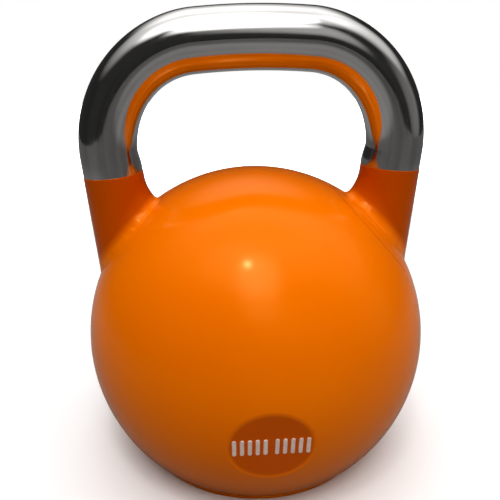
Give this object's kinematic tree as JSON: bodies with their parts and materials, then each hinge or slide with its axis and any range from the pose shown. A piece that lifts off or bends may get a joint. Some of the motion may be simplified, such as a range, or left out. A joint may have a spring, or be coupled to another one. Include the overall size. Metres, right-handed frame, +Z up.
{
  "type": "kettlebell",
  "caption": "Round steel kettlebell with a polished bent grip bar, painted horns flowing into a ball-shaped body, a flat foot and a small flat land on the front.",
  "frame": {"origin": "centre of the foot, on the surface the kettlebell stands on", "axes": "+Z up, X along the grip bar, -Y towards the front with the flat land and its marks"},
  "size_m": [0.21, 0.2098, 0.2667],
  "materials": {
    "enamel": "gloss",
    "polished_steel": "polished",
    "bare_steel": "satin",
    "filling": "matte",
    "seal": "matte",
    "mark_paint": "satin"
  },
  "bodies": {
    "root": {"upper_shell": "enamel", "lower_shell": "enamel", "left_horn": "enamel", "right_horn": "enamel", "girth_weld": "enamel", "base_weld": "enamel", "left_horn_weld": "enamel", "right_horn_weld": "enamel", "base_plate": "enamel", "handle_tube": "polished_steel", "left_collar": "polished_steel", "right_collar": "polished_steel", "left_dowel": "bare_steel", "right_dowel": "bare_steel", "girth_backing_ring": "bare_steel", "fill_plug": "bare_steel", "plug_washer": "seal", "ballast": "filling", "weight_marks": "mark_paint"}
  },
  "joints": []
}
